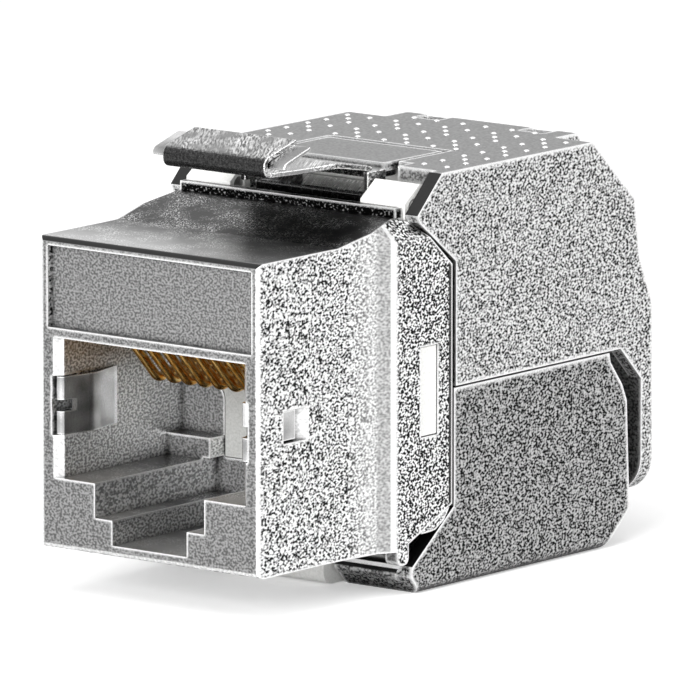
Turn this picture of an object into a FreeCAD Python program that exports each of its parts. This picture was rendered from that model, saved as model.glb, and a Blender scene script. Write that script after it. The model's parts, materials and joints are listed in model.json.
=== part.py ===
"""Shielded keystone jack: die-cast front housing, two hinged rear caps, a sprung panel latch,
and inside them the plastic core, contact wires, board, wire terminals and wire manager.

Every body is drawn in the jack's own frame: X across, Y back from the front face, Z up from
the front block's lower edge. Each body's Placement then puts the jack's origin at the middle
of its footprint, on the plane that the lower cap stands on.
"""
import FreeCAD, Part
import math
import os
import re
import Sketcher

os.makedirs("parts", exist_ok=True)
doc = FreeCAD.newDocument("keystone_jack")

# ---------------------------------------------------------------- driving dimensions (mm)
SIZES = {
    # overall
    "jack_depth": 31.6,
    "floor_drop": 2.45,
    "front_width": 14.5,
    "collar_width": 16.3,
    # front block of the housing
    "front_height": 16.2,
    "edge_round": 0.35,
    "flare_start": 6.3,
    "collar_front": 10.1,
    "flank_crease": 9.1,
    "flank_crease_out": 0.35,
    "flank_round": 30.0,
    "collar_back": 14.6,
    "crest_rise": 0.9,
    "crest_front": 10.8,
    "crest_length": 0.8,
    "crest_bevel": 1.05,
    "rim_front": 11.2,
    "rim_back": 11.75,
    "rim_rise": 0.5,
    "rim_width": 14.2,
    "shoulder_back": 12.8,
    "shoulder_height": 16.0,
    "collar_top": 14.4,
    "heel_start": 10.3,
    "heel_rise": 1.9,
    "collar_wall": 0.8,
    "housing_floor": 1.15,
    "cavity_front": 10.9,
    "cavity_top": 15.2,
    # marking panel above the port
    "panel_width": 13.4,
    "panel_bottom": 11.5,
    "panel_top": 15.75,
    "panel_sink": 0.35,
    # plug port
    "port_width": 11.9,
    "port_bottom": 3.7,
    "port_top": 11.0,
    "port_depth": 9.9,
    "port_lead": 0.4,
    "key_width": 7.2,
    "key_bottom": 1.9,
    "latch_slot_width": 4.9,
    "latch_slot_bottom": 0.6,
    "ledge_depth": 8.7,
    "ledge_top": 4.85,
    "stop_gap": 6.2,
    "stop_top": 7.5,
    "stop_round": 0.8,
    "roof_width": 9.2,
    "roof_front": 1.3,
    "roof_top": 12.7,
    # openings in the flanks
    "window_front": 1.9,
    "window_length": 1.5,
    "window_bottom": 6.7,
    "window_height": 1.7,
    "window_flare": 0.55,
    "slot_front": 12.0,
    "slot_length": 1.4,
    "slot_bottom": 5.7,
    "slot_height": 4.7,
    # jamb recess and shield springs
    "jamb_sink": 0.5,
    "jamb_depth": 1.5,
    "jamb_bottom": 5.9,
    "jamb_height": 3.1,
    "leaf_length": 4.6,
    "leaf_thickness": 0.2,
    "leaf_bulge": 0.5,
    "finger_height": 1.15,
    "tab_reach": 1.0,
    "tab_clearance": 0.1,
    # caps
    "cap_wall": 0.8,
    "cap_seam": 0.15,
    "parting_height": 7.95,
    "cap_front": 14.75,
    "cap_top": 19.2,
    "cap_nose": 11.7,
    "cap_nose_height": 17.25,
    "cap_brow": 13.7,
    "cap_rear_height": 15.8,
    "cap_waist_height": 12.7,
    "tail_height": 10.2,
    "tail_wall": 1.05,
    "tail_bevel": 1.75,
    "tail_round": 2.0,
    "notch_width": 8.0,
    "notch_back": 19.75,
    "brow_back": 14.2,
    "brow_notch_width": 9.8,
    "brow_notch_back": 15.4,
    "hump_width": 11.4,
    "cap_hole_width": 1.6,
    "cap_hole_length": 1.2,
    "cap_hole_pitch": 7.0,
    "lower_nose": 11.2,
    "lower_nose_rise": 0.95,
    "barrel_diameter": 0.7,
    "barrel_depth": 11.45,
    "barrel_drop": 1.45,
    "lower_toe": 12.0,
    "lower_heel_rise": 1.85,
    "lower_corner": 1.55,
    "bottom_round": 0.6,
    "hook_gap": 6.4,
    "hook_gap_back": 14.5,
    "cable_diameter": 8.2,
    # places behind the hinges, each measured forwards from the tail
    "cap_shoulder": 5.2,
    "cap_rear": 1.6,
    "cap_waist": 1.2,
    "hump_back": 3.3,
    "cap_hole_back": 3.25,
    "lower_heel": 4.1,
    "lower_rear": 2.1,
    "clip_front": 7.2,
    # hinges
    "hinge_depth": 12.6,
    "upper_hinge_height": 17.5,
    "lower_hinge_drop": 0.9,
    "pin_diameter": 0.8,
    "pin_clearance": 0.04,
    "pin_blind": 0.35,
    # white core
    "core_clearance": 0.1,
    "core_back": 14.45,
    "core_crown": 16.3,
    "comb_seat": 0.15,
    "catch_sink": 0.08,
    "core_window_bottom": 3.0,
    "core_window_height": 10.6,
    "lug_inner": 8.6,
    "lug_front": 11.85,
    "lug_back": 13.5,
    "lug_top": 18.65,
    "deck_width": 6.6,
    "deck_top": 18.75,
    "deck_fall": 1.05,
    "deck_step": 16.6,
    "deck_back": 19.3,
    "hook_width": 6.0,
    "hook_front": 10.45,
    "hook_back": 13.3,
    "hook_bottom": 2.4,
    # contact insert and contact wires
    "fit_clearance": 0.05,
    "comb_back": 11.9,
    "comb_slot_width": 0.62,
    "comb_slot_depth": 0.95,
    "comb_slot_bottom": 8.7,
    "comb_slot_height": 2.0,
    "tongue_thickness": 0.5,
    "wire_diameter": 0.5,
    "wire_pitch": 1.02,
    "wire_height": 11.75,
    "wire_front": 1.95,
    "wire_bend": 0.6,
    "wire_dip": 5.05,
    "wire_dip_height": 8.5,
    "wire_tip": 10.5,
    "wire_tip_height": 9.4,
    # board and wire terminals
    "board_thickness": 1.0,
    "block_height": 4.9,
    "block_gap": 0.45,
    "block_slot_width": 0.9,
    "block_slot_pitch": 2.9,
    "block_slot_floor": 1.3,
    "blade_width": 1.5,
    "blade_thickness": 0.3,
    "blade_height": 3.2,
    "blade_slit": 0.4,
    "blade_slit_depth": 2.2,
    # wire manager
    "manager_bottom": 1.6,
    "manager_gap": 0.65,
    "manager_seat": 0.45,
    "manager_height": 12.8,
    "manager_length": 4.0,
    "manager_length": 4.0,
    "manager_bore": 6.6,
    "manager_groove": 1.3,
    "manager_groove_depth": 1.6,
    "manager_groove_pitch": 2.9,
    "manager_arm": 0.6,
    "manager_arm_height": 6.0,
    # screen clip
    "clip_length": 2.6,
    "clip_gap": 1.1,
    "clip_thickness": 0.3,
    "clip_foot": 2.0,
    "clip_saddle": 5.0,
    # housing ears below the collar
    "ear_length": 0.9,
    "ear_drop": 0.75,
    # latch and the plate that holds its root
    "plate_width": 7.5,
    "plate_front": 14.5,
    "plate_thickness": 0.45,
    "latch_thickness": 0.3,
    "latch_width": 8.4,
    "latch_root": 16.2,
    "latch_root_gap": 0.15,
    "latch_pivot": 15.4,
    "latch_root_width": 6.4,
    "latch_rise": 12.6,
    "latch_rise_height": 19.35,
    "latch_way": 0.7,
    "latch_arch": 10.1,
    "latch_arch_height": 19.8,
    "latch_tip": 5.2,
    "latch_tip_height": 19.75,
    "latch_fold": 1.0,
    "latch_lip_width": 6.7,
    "latch_lip_back": 7.85,
    "latch_lip_height": 21.2,
    "wing_width": 8.7,
    "wing_thickness": 0.2,
    "latch_leg_front": 12.6,
    "latch_leg_length": 1.5,
    "latch_leg_bottom": 17.75,
}

sheet = doc.addObject("Spreadsheet::Sheet", "sizes")
for row, (alias, value) in enumerate(SIZES.items(), 1):
    sheet.set(f"A{row}", alias)
    sheet.set(f"B{row}", str(value))
    sheet.setAlias(f"B{row}", alias)
doc.recompute()


# What fits between other pieces, worked out from their sizes and a named clearance.
FITS = {
    "manager_width": "collar_width - 2 * (cap_wall + manager_gap)",
    "manager_front": "jack_depth - clip_front - clip_gap - manager_length",
    "block_width": "manager_width - 2 * (manager_arm + block_gap)",
    "core_window_width": "block_width + 2 * core_clearance",
    "block_front": "comb_back + 3 * fit_clearance + board_thickness",
    "block_length": "manager_front - manager_seat - block_front",
    "latch_rise_top": "max(latch_rise_height; front_height + crest_rise + rim_rise + latch_way)",
}


# ---------------------------------------------------------------- modelling helpers
def bound(formula):
    """A formula in bare names, as an expression: a name in FITS is written out."""
    def written_out(match):
        name = match.group(1)
        return f"({bound(FITS[name])})" if name in FITS else f"sizes.{name}"
    return re.sub(r"\b([a-z][a-z_]*)\b(?!\()", written_out, formula)


def bind(thing, **formulas):
    """Bind properties to formulas; a double underscore stands for a dot in the property path."""
    for path, formula in formulas.items():
        thing.setExpression(path.replace("__", "."), bound(formula))


def new_body(label):
    """A body placed so that the jack stands centred on the origin."""
    body = doc.addObject("PartDesign::Body", label)
    body.Label = label
    bind(body, Placement__Base__y="-jack_depth / 2", Placement__Base__z="floor_drop")
    return body


def new_sketch(body, name, role, offset):
    """An empty sketch on one of the body's own origin planes, moved along that plane's normal."""
    sketch = body.newObject("Sketcher::SketchObject", name)
    plane = [item for item in body.Origin.OriginFeatures if item.Role == role][0]
    sketch.AttachmentSupport = [(plane, "")]
    sketch.MapMode = "FlatFace"
    bind(sketch, AttachmentOffset__Base__z=offset)
    return sketch


def dimension(sketch, kind, *where_and_formula):
    """A sketch dimension whose value is a formula."""
    *where, formula = where_and_formula
    index = sketch.addConstraint(Sketcher.Constraint(kind, *where, 1.0))
    sketch.setExpression(f"Constraints[{index}]", bound(formula))


def polyline(sketch, corners, closed):
    """Straight lines through the corners, each corner dimensioned from the origin.

    A corner is (across, up) or (across, up, bend), each a formula. A bend rounds that corner.
    """
    count = len(corners)
    start = [
        FreeCAD.Vector(math.cos(2 * math.pi * i / count), math.sin(2 * math.pi * i / count), 0)
        for i in range(count)
    ]
    lines = count if closed else count - 1
    for i in range(lines):
        sketch.addGeometry(Part.LineSegment(start[i], start[(i + 1) % count]), False)
    for i in range(lines if closed else lines - 1):
        sketch.addConstraint(Sketcher.Constraint("Coincident", i, 2, (i + 1) % count, 1))
    for i, corner in enumerate(corners):
        line, end = (i, 1) if i < lines else (i - 1, 2)
        dimension(sketch, "DistanceX", -1, 1, line, end, corner[0])
        dimension(sketch, "DistanceY", -1, 1, line, end, corner[1])
    sketch.recompute()
    for i, corner in enumerate(corners):
        if len(corner) == 3:
            arc = sketch.GeometryCount
            sketch.fillet(i, 1, 0.05, True, True)
            dimension(sketch, "Radius", arc, corner[2])
            sketch.recompute()


def outline(body, name, role, corners, offset="0"):
    """A closed outline on an origin plane."""
    sketch = new_sketch(body, name, role, offset)
    polyline(sketch, corners, True)
    return sketch


def rectangle(body, name, role, left, bottom, width, height, offset="0"):
    """A rectangle from its lower left corner."""
    right, top = f"({left}) + ({width})", f"({bottom}) + ({height})"
    corners = [(left, bottom), (right, bottom), (right, top), (left, top)]
    return outline(body, name, role, corners, offset)


def circles(body, name, role, centres, diameter, offset="0"):
    """One circle of the given diameter about each centre."""
    sketch = new_sketch(body, name, role, offset)
    for i, (across, up) in enumerate(centres):
        sketch.addGeometry(Part.Circle(FreeCAD.Vector(3.0 * i, 0, 0), FreeCAD.Vector(0, 0, 1), 1), False)
        dimension(sketch, "DistanceX", -1, 1, i, 3, across)
        dimension(sketch, "DistanceY", -1, 1, i, 3, up)
        dimension(sketch, "Diameter", i, diameter)
    sketch.recompute()
    return sketch


def extrude(kind, body, name, sketch, length, both, flip):
    """A pad or pocket along the sketch's normal, both ways about it, or flipped."""
    before = 0.0 if body.Tip is None else body.Shape.Volume
    feature = body.newObject("PartDesign::" + kind, name)
    feature.Profile = sketch
    feature.Midplane = both
    feature.Reversed = flip
    bind(feature, Length=length)
    doc.recompute()
    gained = body.Shape.Volume - before
    if gained * (1 if kind == "Pad" else -1) < 1e-6:
        raise RuntimeError(f"{body.Label}: {name} changes nothing")
    return feature


def pad(body, name, sketch, length, both=False, flip=False):
    return extrude("Pad", body, name, sketch, length, both, flip)


def pocket(body, name, sketch, length, both=False, flip=False):
    return extrude("Pocket", body, name, sketch, length, both, flip)


def dress(kind, body, name, size, wanted):
    """A fillet or chamfer on the tip's edges that the test wanted(edge) picks."""
    base = body.Tip
    names = [f"Edge{i}" for i, edge in enumerate(base.Shape.Edges, 1) if wanted(edge)]
    if not names:
        raise RuntimeError(f"{body.Label}: {name} finds no edge")
    feature = body.newObject("PartDesign::" + kind, name)
    feature.Base = (base, names)
    bind(feature, **{"Radius" if kind == "Fillet" else "Size": size})
    doc.recompute()
    if "Invalid" in feature.State:
        raise RuntimeError(f"{body.Label}: {name} fails")
    return feature


def size(alias):
    """The sheet's value of one alias."""
    return sheet.get(alias)


def ends(edge):
    """The edge's two end points."""
    return [vertex.Point for vertex in edge.Vertexes]


def runs_along(edge, axis):
    """True where a straight edge is parallel to axis 0, 1 or 2."""
    if len(edge.Vertexes) != 2 or edge.Curve.TypeId != "Part::GeomLine":
        return False
    step = ends(edge)[1] - ends(edge)[0]
    return all(abs(step[i]) < 1e-6 for i in range(3) if i != axis)


def lies_at(edge, axis, place):
    """True where both ends of the edge are at that coordinate."""
    return all(abs(point[axis] - place) < 1e-4 for point in ends(edge))


def on_side(edge, alias):
    """True where the edge is on a side of the body, that width being an alias of the sheet."""
    return abs(abs(ends(edge)[0].x) - size(alias) / 2) < 1e-4


# ---------------------------------------------------------------- front housing
def front_housing():
    body = new_body("front_housing")
    side = outline(body, "side_outline", "YZ_Plane", [
        ("0", "0"),
        ("heel_start", "0"),
        ("collar_back", "heel_rise"),
        ("collar_back", "collar_top"),
        ("shoulder_back", "shoulder_height"),
        ("crest_front + crest_length", "front_height + crest_rise"),
        ("crest_front", "front_height + crest_rise"),
        ("flare_start", "front_height"),
        ("0", "front_height"),
    ])
    pad(body, "casting", side, "collar_width", both=True)

    # Each flank is cut back to the front block: it sweeps out to a crease, and then to the collar.
    for hand, sign in (("right", ""), ("left", "-")):
        flank = outline(body, hand + "_flank", "XY_Plane", [
            (f"{sign}(front_width / 2)", "-1"),
            (f"{sign}(collar_width / 2 + 1)", "-1"),
            (f"{sign}(collar_width / 2 + 1)", "collar_front"),
            (f"{sign}(collar_width / 2)", "collar_front"),
            (f"{sign}(front_width / 2 + flank_crease_out)", "flank_crease"),
            (f"{sign}(front_width / 2)", "flare_start", "flank_round"),
        ], offset="-1")
        pocket(body, hand + "_flank_cut", flank, "front_height + crest_rise + 2", flip=True)

    dress("Fillet", body, "front_edges", "edge_round", lambda edge: lies_at(edge, 1, 0.0))

    panel = rectangle(body, "marking_panel", "XZ_Plane", "-panel_width / 2", "panel_bottom",
                      "panel_width", "panel_top - panel_bottom", offset="0.5")
    pocket(body, "marking_panel_cut", panel, "panel_sink + 0.5")

    # The port: the plug's cavity, the step for its keyed underside and the slot for its latch.
    port = rectangle(body, "port", "XZ_Plane", "-port_width / 2", "ledge_top",
                     "port_width", "port_top - ledge_top", offset="0.5")
    pocket(body, "port_cut", port, "port_depth + 0.5")
    ledge = rectangle(body, "ledge", "XZ_Plane", "-port_width / 2", "port_bottom",
                      "port_width", "ledge_top - port_bottom + 0.1", offset="0.5")
    pocket(body, "ledge_cut", ledge, "ledge_depth + 0.5")
    key = rectangle(body, "key", "XZ_Plane", "-key_width / 2", "key_bottom",
                    "key_width", "port_bottom - key_bottom + 0.1", offset="0.5")
    pocket(body, "key_cut", key, "port_depth + 0.5")
    latch_slot = rectangle(body, "latch_slot", "XZ_Plane", "-latch_slot_width / 2",
                           "latch_slot_bottom", "latch_slot_width",
                           "key_bottom - latch_slot_bottom + 0.1", offset="0.5")
    pocket(body, "latch_slot_cut", latch_slot, "port_depth + 0.5")

    # Behind the plug stops the wall opens into the core's chamber.
    gate = outline(body, "gate", "XZ_Plane", [
        ("-stop_gap / 2", "port_bottom"),
        ("stop_gap / 2", "port_bottom"),
        ("stop_gap / 2", "stop_top", "stop_round"),
        ("port_width / 2", "stop_top"),
        ("port_width / 2", "port_top"),
        ("-port_width / 2", "port_top"),
        ("-port_width / 2", "stop_top"),
        ("-stop_gap / 2", "stop_top", "stop_round"),
    ], offset="-(port_depth - 1.5)")
    pocket(body, "gate_cut", gate, "cavity_front - port_depth + 2")
    roof = rectangle(body, "roof", "YZ_Plane", "roof_front", "port_top - 0.1",
                     "cavity_front - roof_front + 0.1", "roof_top - port_top + 0.1")
    pocket(body, "roof_cut", roof, "roof_width", both=True)

    # Small ears below the collar's front corners.
    ear = outline(body, "ear", "YZ_Plane", [
        ("collar_front", "0.5"),
        ("collar_front", "-ear_drop", "ear_length * 0.4"),
        ("collar_front + ear_length", "-ear_drop", "ear_length * 0.4"),
        ("collar_front + ear_length", "0.5"),
    ])
    pad(body, "ears", ear, "collar_width", both=True)
    between_ears = rectangle(body, "between_ears", "YZ_Plane", "collar_front - 0.2",
                             "-ear_drop - 1", "ear_length + 0.4", "ear_drop + 1")
    pocket(body, "between_ears_cut", between_ears, "collar_width - 2 * collar_wall", both=True)

    chamber = outline(body, "chamber", "YZ_Plane", [
        ("cavity_front", "housing_floor"),
        ("collar_back + 0.1", "heel_rise + housing_floor - 0.1"),
        ("collar_back + 0.1", "front_height + crest_rise + 1"),
        ("rim_back", "front_height + crest_rise + 1"),
        ("rim_back", "cavity_top"),
        ("cavity_front", "cavity_top"),
    ])
    pocket(body, "chamber_cut", chamber, "collar_width - 2 * collar_wall", both=True)

    # A rim stands on the crest, in front of the core's lugs, and the crest's ends are bevelled.
    rim = rectangle(body, "rim", "YZ_Plane", "rim_front", "cavity_top + 0.2", "rim_back - rim_front",
                    "front_height + crest_rise + rim_rise - cavity_top - 0.2")
    pad(body, "crest_rim", rim, "rim_width", both=True)
    for hand, sign in (("right", ""), ("left", "-")):
        bevel = outline(body, hand + "_bevel", "XZ_Plane", [
            (f"{sign}(rim_width / 2)", "front_height + crest_rise"),
            (f"{sign}(rim_width / 2 + 2 * crest_bevel)", "front_height + crest_rise - 2 * crest_bevel"),
            (f"{sign}(rim_width / 2 + 2 * crest_bevel)", "front_height + crest_rise + 1"),
            (f"{sign}(rim_width / 2)", "front_height + crest_rise + 1"),
        ], offset="-flare_start")
        pocket(body, hand + "_bevel_cut", bevel, "shoulder_back - flare_start")

    hook_way = rectangle(body, "hook_way", "YZ_Plane", "hook_front - 0.15", "-1",
                         "collar_back - hook_front + 1", "housing_floor + heel_rise + 1.5")
    pocket(body, "hook_way_cut", hook_way, "hook_gap - 0.1", both=True)

    # Windows for the shield springs' tabs, with a flared rear side, and the tall collar slots.
    window = outline(body, "window", "YZ_Plane", [
        ("window_front", "window_bottom"),
        ("window_front + window_length", "window_bottom"),
        ("window_front + window_length", "window_bottom + window_height"),
        ("window_front", "window_bottom + window_height"),
    ])
    pocket(body, "window_cut", window, "front_width + 1", both=True)
    slot = rectangle(body, "slot", "YZ_Plane", "slot_front", "slot_bottom",
                     "slot_length", "slot_height")
    pocket(body, "slot_cut", slot, "collar_width + 1", both=True)
    edge_place = size("window_front") + size("window_length")
    dress("Chamfer", body, "window_flare", "window_flare", lambda edge: (
        runs_along(edge, 2) and lies_at(edge, 1, edge_place) and on_side(edge, "front_width")
    ))

    # Recesses in the jambs for the shield springs' fingers and leaves.
    for hand, sign in (("right", ""), ("left", "-")):
        jamb = outline(body, hand + "_jamb", "XY_Plane", [
            (f"{sign}(port_width / 2 - 0.1)", "-0.5"),
            (f"{sign}(port_width / 2 + jamb_sink)", "-0.5"),
            (f"{sign}(port_width / 2 + jamb_sink)", "jamb_depth"),
            (f"{sign}(port_width / 2 - 0.1)", "jamb_depth"),
        ], offset="jamb_bottom")
        pocket(body, hand + "_jamb_cut", jamb, "jamb_height", flip=True)

    # The port's lead-in chamfer stays within the rim beside it.
    lead = "min(port_lead; (front_width - port_width) / 2 - edge_round - fit_clearance)"
    dress("Chamfer", body, "port_lead", lead, lambda edge: (
        lies_at(edge, 1, 0.0) and runs_along(edge, 2) and on_side(edge, "port_width")
    ))
    return body


# ---------------------------------------------------------------- rear caps
def upper_cap():
    body = new_body("upper_cap")
    side = outline(body, "side_outline", "YZ_Plane", [
        ("cap_front + cap_seam", "parting_height + 0.05"),
        ("jack_depth - tail_wall - tail_bevel", "parting_height + 0.05"),
        ("jack_depth - tail_wall", "parting_height - tail_bevel"),
        ("jack_depth - tail_wall", "0"),
        ("jack_depth", "0"),
        ("jack_depth - 0.1", "tail_height"),
        ("jack_depth - cap_waist", "cap_waist_height"),
        ("jack_depth - cap_rear", "cap_rear_height"),
        ("jack_depth - cap_shoulder", "cap_top"),
        ("cap_brow", "cap_top"),
        ("cap_nose", "cap_nose_height"),
        ("cap_nose + 0.2", "cap_nose_height - 0.4"),
        ("cap_front + cap_seam", "collar_top + 0.1"),
    ])
    pad(body, "casting", side, "collar_width", both=True)
    hump = outline(body, "hump", "YZ_Plane", [
        ("jack_depth - cap_shoulder - 0.5", "cap_top - cap_wall"),
        ("jack_depth - cap_rear - 0.2", "cap_rear_height - 0.2"),
        ("jack_depth - cap_rear + 0.1", "cap_rear_height + 0.2"),
        ("jack_depth - hump_back", "cap_top"),
        ("jack_depth - cap_shoulder - 0.5", "cap_top"),
    ])
    pad(body, "rear_hump", hump, "hump_width", both=True)

    inside = outline(body, "inside", "YZ_Plane", [
        ("cap_nose - 1", "0"),
        ("jack_depth - tail_wall", "0"),
        ("jack_depth - tail_wall", "tail_height"),
        ("jack_depth - cap_waist - cap_wall", "cap_waist_height - 0.1"),
        ("jack_depth - cap_rear - cap_wall + 0.03", "cap_rear_height - 0.36"),
        ("jack_depth - cap_shoulder - 0.33", "cap_top - cap_wall"),
        ("cap_nose - 1", "cap_top - cap_wall"),
    ])
    pocket(body, "inside_cut", inside, "collar_width - 2 * cap_wall", both=True)

    # The brow between the side walls is open for the core's lugs, and the notch for the latch.
    brow = rectangle(body, "brow", "YZ_Plane", "cap_nose - 1", "collar_top",
                     "brow_back - cap_nose + 1", "cap_top - collar_top + 1")
    pocket(body, "brow_cut", brow, "collar_width - 2 * cap_wall", both=True)
    notch = rectangle(body, "notch", "XY_Plane", "-notch_width / 2", "cap_nose",
                      "notch_width", "notch_back - cap_nose", offset="cap_top - cap_wall - 0.5")
    pocket(body, "notch_cut", notch, "cap_wall + 1", flip=True)
    brow_notch = rectangle(body, "brow_notch", "XY_Plane", "-brow_notch_width / 2", "cap_nose",
                           "brow_notch_width", "brow_notch_back - cap_nose",
                           offset="cap_top - cap_wall - 0.5")
    pocket(body, "brow_notch_cut", brow_notch, "cap_wall + 1", flip=True)
    for hand, sign in (("right", "+"), ("left", "-")):
        hole = rectangle(body, hand + "_hole", "XY_Plane",
                         f"{sign} cap_hole_pitch / 2 - cap_hole_width / 2",
                         "jack_depth - cap_hole_back - cap_hole_length", "cap_hole_width", "cap_hole_length",
                         offset="cap_rear_height")
        pocket(body, hand + "_hole_cut", hole, "cap_top - cap_rear_height + 1", flip=True)

    # Cable way: an arch in the rear wall and tail, open at the bottom.
    arch = circles(body, "arch", "XZ_Plane", [("0", "parting_height")], "cable_diameter",
                   offset="-(jack_depth + 1)")
    pocket(body, "arch_cut", arch, "4", flip=True)
    legs = rectangle(body, "legs", "XZ_Plane", "-cable_diameter / 2", "-1", "cable_diameter",
                     "parting_height + 1", offset="-(jack_depth + 1)")
    pocket(body, "legs_cut", legs, "4", flip=True)
    dress("Fillet", body, "tail_corners", "tail_round", lambda edge: (
        runs_along(edge, 1) and lies_at(edge, 2, 0.0) and on_side(edge, "collar_width")
    ))

    # Blind bores inside the side walls for the hinge pin.
    bore = circles(body, "bore", "YZ_Plane", [("hinge_depth", "upper_hinge_height")],
                   "pin_diameter + 2 * pin_clearance")
    pocket(body, "bore_cut", bore, "collar_width - 2 * pin_blind", both=True)
    return body


def lower_cap():
    body = new_body("lower_cap")
    side = outline(body, "side_outline", "YZ_Plane", [
        ("cap_front", "parting_height - 0.05"),
        ("cap_front", "heel_rise - 0.15"),
        ("lower_nose + 0.1", "-lower_nose_rise"),
        ("lower_nose", "-lower_nose_rise - 0.55"),
        ("lower_toe", "-floor_drop"),
        ("jack_depth - lower_heel", "-floor_drop"),
        ("jack_depth - lower_rear + 0.1", "-floor_drop + lower_heel_rise"),
        ("jack_depth - lower_rear - 0.15", "parting_height - 2.75"),
        ("jack_depth - lower_rear - 0.55", "parting_height - 1.85"),
        ("jack_depth - lower_rear - lower_corner", "parting_height - 0.55"),
        ("jack_depth - lower_rear - lower_corner - 0.1", "parting_height - 0.05"),
    ])
    pad(body, "casting", side, "collar_width", both=True)
    barrel = circles(body, "barrel", "YZ_Plane", [("barrel_depth", "-barrel_drop")],
                     "barrel_diameter")
    pad(body, "front_barrel", barrel, "collar_width - 2 * cap_wall - 2 * core_clearance", both=True)
    inside = outline(body, "inside", "YZ_Plane", [
        ("lower_nose - 0.5", "parting_height + 1"),
        ("lower_nose - 0.5", "-lower_nose_rise + 0.05"),
        ("lower_nose + 0.05", "-lower_nose_rise + 0.05"),
        ("lower_toe + 0.25", "-floor_drop + cap_wall - 0.1"),
        ("jack_depth - lower_heel - 0.3", "-floor_drop + cap_wall - 0.1"),
        ("jack_depth - lower_rear - cap_wall + 0.1", "-floor_drop + lower_heel_rise + 0.3"),
        ("jack_depth - lower_rear - cap_wall - 0.15", "parting_height - 2.9"),
        ("jack_depth - lower_rear - lower_corner - cap_wall", "parting_height - 0.8"),
        ("jack_depth - lower_rear - lower_corner - cap_wall", "parting_height + 1"),
    ])
    pocket(body, "inside_cut", inside, "collar_width - 2 * cap_wall", both=True)
    hook_gap = rectangle(body, "hook_gap", "XY_Plane", "-hook_gap / 2", "lower_nose - 1",
                         "hook_gap", "hook_gap_back - lower_nose + 1", offset="-floor_drop - 1")
    pocket(body, "hook_gap_cut", hook_gap, "cap_wall + 1.7", flip=True)
    saddle = circles(body, "saddle", "XZ_Plane", [("0", "parting_height")], "cable_diameter",
                     offset="-(jack_depth - lower_rear + 1)")
    pocket(body, "saddle_cut", saddle, "4", flip=True)
    dress("Fillet", body, "bottom_edges", "bottom_round", lambda edge: (
        runs_along(edge, 1) and lies_at(edge, 2, -size("floor_drop")) and on_side(edge, "collar_width")
    ))
    bore = circles(body, "bore", "YZ_Plane", [("hinge_depth", "-lower_hinge_drop")],
                   "pin_diameter + 2 * pin_clearance")
    pocket(body, "bore_cut", bore, "collar_width - 2 * pin_blind", both=True)
    return body


def lower_hinge_pin():
    """A plain pin through the lower hook, its ends in the lower cap's blind bores."""
    body = new_body("lower_hinge_pin")
    ring = circles(body, "section", "YZ_Plane", [("hinge_depth", "-lower_hinge_drop")],
                   "pin_diameter")
    pad(body, "rod", ring, "collar_width - 2 * pin_blind - 0.1", both=True)
    return body


def upper_hinge_pin(label, flip):
    """A short pin from one of the core's lugs into the blind bore of the upper cap's side wall."""
    body = new_body(label)
    start = "lug_inner / 2 + 0.1"
    ring = circles(body, "section", "YZ_Plane", [("hinge_depth", "upper_hinge_height")],
                   "pin_diameter", offset=f"-({start})" if flip else start)
    pad(body, "rod", ring, f"collar_width / 2 - pin_blind - 0.05 - ({start})", flip=flip)
    return body


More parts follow.
